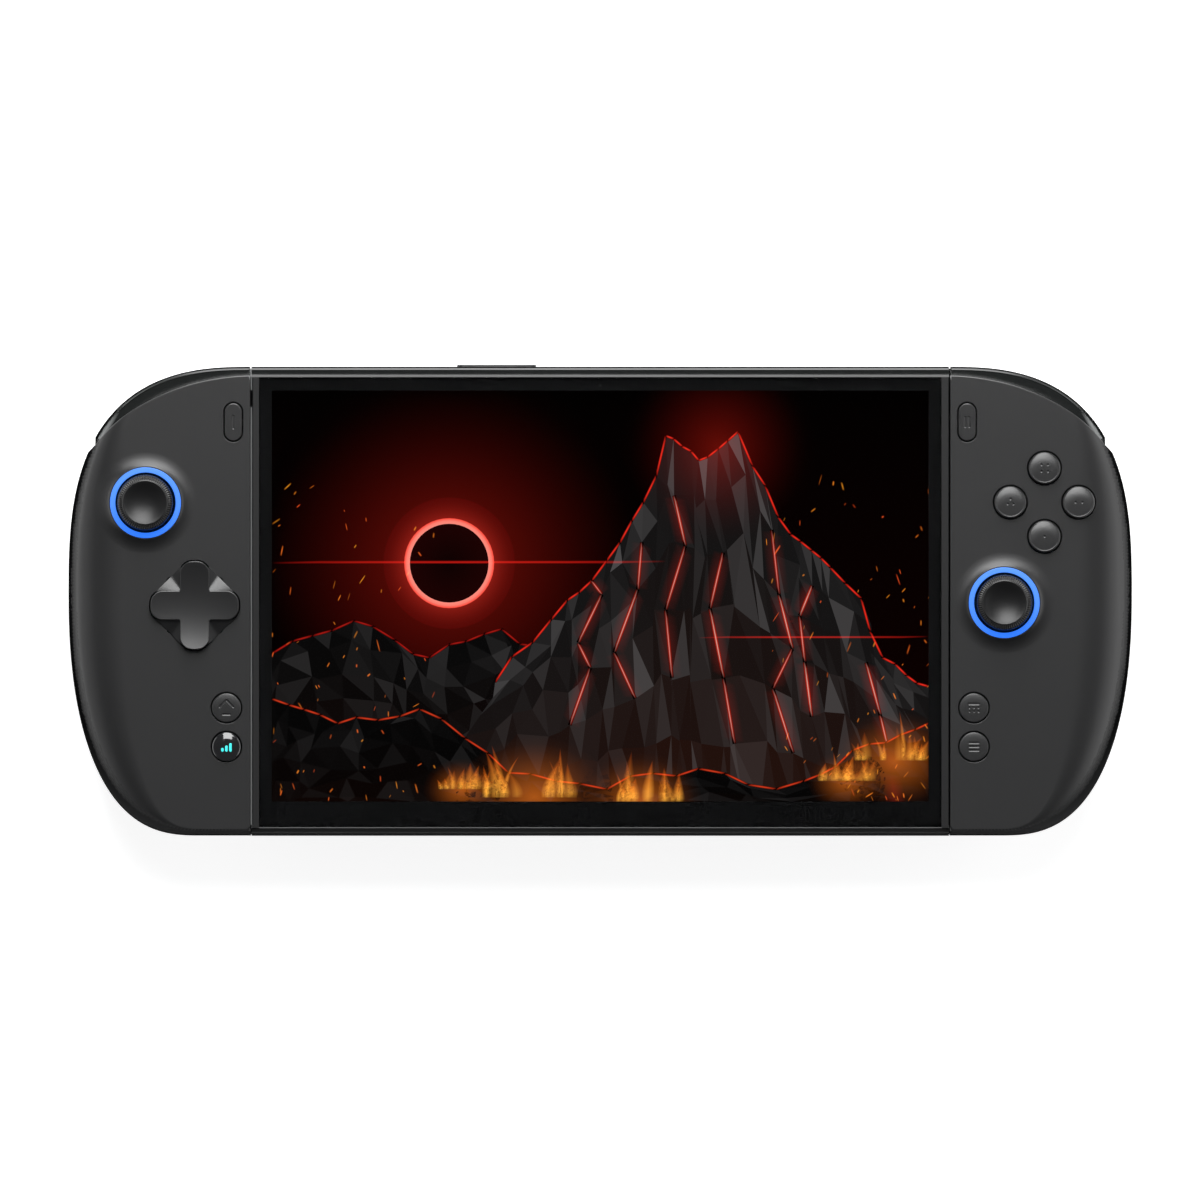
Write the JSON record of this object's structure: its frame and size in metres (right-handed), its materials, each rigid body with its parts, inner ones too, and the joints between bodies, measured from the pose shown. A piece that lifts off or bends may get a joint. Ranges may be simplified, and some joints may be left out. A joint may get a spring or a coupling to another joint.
{
  "type": "handheld game console",
  "caption": "Handheld game console: a large flat screen between two pull-off controllers with thumbsticks, a direction pad, face buttons, bumpers and triggers.",
  "frame": {"origin": "on the table under the middle of the console, which lies on the backs of its grips", "axes": "+X across the screen to the right, +Y towards the shoulder buttons, +Z out of the screen"},
  "size_m": [0.3068, 0.1358, 0.0472],
  "materials": {
    "shell": "fine matte grain",
    "rear_shell": "matte grain",
    "frame": "dark gloss",
    "glass": "clear gloss",
    "panel": "dark display",
    "board": "solder mask",
    "copper": "bare metal",
    "dark_plastic": "satin",
    "battery": "wrapped cell",
    "metal": "satin metal",
    "steel": "blackened steel",
    "rubber": "soft rubber",
    "silicone": "silicone",
    "button": "satin",
    "gloss_button": "piano gloss",
    "light": "lit diffuser"
  },
  "bodies": {
    "tablet": {"rear_cover": "rear_shell", "mid_frame": "frame", "front_bezel": "shell", "cover_glass": "glass", "display_panel": "panel", "main_board": "board", "heat_sink": "copper", "fan_housing": "dark_plastic", "battery_pack": "battery", "ssd_module": "board", "speakers": "dark_plastic", "usb_c_ports": "metal", "audio_jack": "dark_plastic", "dock_sockets": "dark_plastic", "tablet_screws": "steel"},
    "fan_wheel": {"fan_impeller": "dark_plastic"},
    "power_key": {"power_button": "dark_plastic"},
    "volume_key": {"volume_rocker": "dark_plastic"},
    "left_controller": {"left_front_shell": "shell", "left_rear_shell": "rear_shell", "left_board": "board", "left_cell": "battery", "left_motor": "metal", "left_stick_module": "dark_plastic", "left_light_ring": "light", "left_dock_plug": "dark_plastic", "left_screws": "steel", "left_keypad": "silicone"},
    "right_controller": {"right_front_shell": "shell", "right_rear_shell": "rear_shell", "right_board": "board", "right_cell": "battery", "right_motor": "metal", "right_stick_module": "dark_plastic", "right_light_ring": "light", "right_dock_plug": "dark_plastic", "right_screws": "steel", "right_keypad": "silicone"},
    "left_bumper": {"left_bumper": "frame"},
    "left_trigger": {"left_trigger": "dark_plastic"},
    "left_stick_gimbal": {"left_stick_gimbal": "metal"},
    "left_stick_hub": {"left_stick_hub": "metal"},
    "left_stick": {"left_stick": "rubber"},
    "right_bumper": {"right_bumper": "frame"},
    "right_trigger": {"right_trigger": "dark_plastic"},
    "right_stick_gimbal": {"right_stick_gimbal": "metal"},
    "right_stick_hub": {"right_stick_hub": "metal"},
    "right_stick": {"right_stick": "rubber"},
    "dpad_pivot": {"dpad_pivot": "metal"},
    "dpad": {"dpad": "button"},
    "back_button": {"back_button": "button"},
    "home_button": {"home_button": "button"},
    "turbo_button": {"turbo_button": "gloss_button"},
    "south_button": {"south_button": "button"},
    "east_button": {"east_button": "button"},
    "west_button": {"west_button": "button"},
    "north_button": {"north_button": "button"},
    "start_button": {"start_button": "button"},
    "keyboard_button": {"keyboard_button": "button"},
    "menu_button": {"menu_button": "button"}
  },
  "joints": [
    {"name": "fan_spin", "type": "hinge", "parent": "tablet", "child": "fan_wheel", "pos_m": [0.045, 0.027, 0.026], "axis": [0, 0, 1], "continuous": true},
    {"name": "power_press", "type": "slide", "parent": "tablet", "child": "power_key", "axis": [0, -1, 0], "range_m": [0, 0.00025], "stiffness_N_per_m": 100},
    {"name": "volume_rock", "type": "hinge", "parent": "tablet", "child": "volume_key", "pos_m": [-0.0299, 0.0665, 0.03075], "axis": [0, 0, 1], "range_deg": [-1.5, 1.5], "stiffness_Nm_per_rad": 0.02},
    {"name": "left_controller_slide", "type": "slide", "parent": "tablet", "child": "left_controller", "axis": [-1, 0, 0], "range_m": [0, 0.012]},
    {"name": "right_controller_slide", "type": "slide", "parent": "tablet", "child": "right_controller", "axis": [1, 0, 0], "range_m": [0, 0.012]},
    {"name": "left_bumper_press", "type": "hinge", "parent": "left_controller", "child": "left_bumper", "pos_m": [-0.1068, 0.0615, 0.032], "axis": [0, 0, 1], "range_deg": [0, 1.5], "stiffness_Nm_per_rad": 0.3},
    {"name": "left_trigger_pull", "type": "hinge", "parent": "left_controller", "child": "left_trigger", "pos_m": [-0.1199, 0.054, 0.0195], "axis": [-1, 0, 0], "range_deg": [0, 14], "stiffness_Nm_per_rad": 0.06},
    {"name": "left_stick_up_down", "type": "hinge", "parent": "left_controller", "child": "left_stick_gimbal", "pos_m": [-0.131, 0.0284, 0.032], "axis": [1, 0, 0], "range_deg": [-13, 13], "stiffness_Nm_per_rad": 0.02},
    {"name": "left_stick_left_right", "type": "hinge", "parent": "left_stick_gimbal", "child": "left_stick_hub", "pos_m": [-0.131, 0.0284, 0.032], "axis": [0, 1, 0], "range_deg": [-13, 13], "stiffness_Nm_per_rad": 0.02},
    {"name": "left_stick_click", "type": "slide", "parent": "left_stick_hub", "child": "left_stick", "axis": [0, 0, -1], "range_m": [0, 0.0005], "stiffness_N_per_m": 150},
    {"name": "right_bumper_press", "type": "hinge", "parent": "right_controller", "child": "right_bumper", "pos_m": [0.1068, 0.0615, 0.032], "axis": [0, 0, -1], "range_deg": [0, 1.5], "stiffness_Nm_per_rad": 0.3},
    {"name": "right_trigger_pull", "type": "hinge", "parent": "right_controller", "child": "right_trigger", "pos_m": [0.1199, 0.054, 0.0195], "axis": [-1, 0, 0], "range_deg": [0, 14], "stiffness_Nm_per_rad": 0.06},
    {"name": "right_stick_up_down", "type": "hinge", "parent": "right_controller", "child": "right_stick_gimbal", "pos_m": [0.1164, -0.0004, 0.032], "axis": [1, 0, 0], "range_deg": [-13, 13], "stiffness_Nm_per_rad": 0.02},
    {"name": "right_stick_left_right", "type": "hinge", "parent": "right_stick_gimbal", "child": "right_stick_hub", "pos_m": [0.1164, -0.0004, 0.032], "axis": [0, 1, 0], "range_deg": [-13, 13], "stiffness_Nm_per_rad": 0.02},
    {"name": "right_stick_click", "type": "slide", "parent": "right_stick_hub", "child": "right_stick", "axis": [0, 0, -1], "range_m": [0, 0.0005], "stiffness_N_per_m": 150},
    {"name": "dpad_left_right", "type": "hinge", "parent": "left_controller", "child": "dpad_pivot", "pos_m": [-0.1168, -0.0012, 0.0346], "axis": [0, 1, 0], "range_deg": [-3, 3], "stiffness_Nm_per_rad": 0.03},
    {"name": "dpad_up_down", "type": "hinge", "parent": "dpad_pivot", "child": "dpad", "pos_m": [-0.1168, -0.0012, 0.0346], "axis": [1, 0, 0], "range_deg": [-3, 3], "stiffness_Nm_per_rad": 0.03},
    {"name": "back_button_press", "type": "slide", "parent": "left_controller", "child": "back_button", "axis": [0, 0, -1], "range_m": [0, 0.0004], "stiffness_N_per_m": 100},
    {"name": "home_button_press", "type": "slide", "parent": "left_controller", "child": "home_button", "axis": [0, 0, -1], "range_m": [0, 0.0004], "stiffness_N_per_m": 100},
    {"name": "turbo_button_press", "type": "slide", "parent": "left_controller", "child": "turbo_button", "axis": [0, 0, -1], "range_m": [0, 0.0004], "stiffness_N_per_m": 100},
    {"name": "south_button_press", "type": "slide", "parent": "right_controller", "child": "south_button", "axis": [0, 0, -1], "range_m": [0, 0.0012], "stiffness_N_per_m": 100},
    {"name": "east_button_press", "type": "slide", "parent": "right_controller", "child": "east_button", "axis": [0, 0, -1], "range_m": [0, 0.0012], "stiffness_N_per_m": 100},
    {"name": "west_button_press", "type": "slide", "parent": "right_controller", "child": "west_button", "axis": [0, 0, -1], "range_m": [0, 0.0012], "stiffness_N_per_m": 100},
    {"name": "north_button_press", "type": "slide", "parent": "right_controller", "child": "north_button", "axis": [0, 0, -1], "range_m": [0, 0.0012], "stiffness_N_per_m": 100},
    {"name": "start_button_press", "type": "slide", "parent": "right_controller", "child": "start_button", "axis": [0, 0, -1], "range_m": [0, 0.0004], "stiffness_N_per_m": 100},
    {"name": "keyboard_button_press", "type": "slide", "parent": "right_controller", "child": "keyboard_button", "axis": [0, 0, -1], "range_m": [0, 0.0004], "stiffness_N_per_m": 100},
    {"name": "menu_button_press", "type": "slide", "parent": "right_controller", "child": "menu_button", "axis": [0, 0, -1], "range_m": [0, 0.0004], "stiffness_N_per_m": 100}
  ]
}
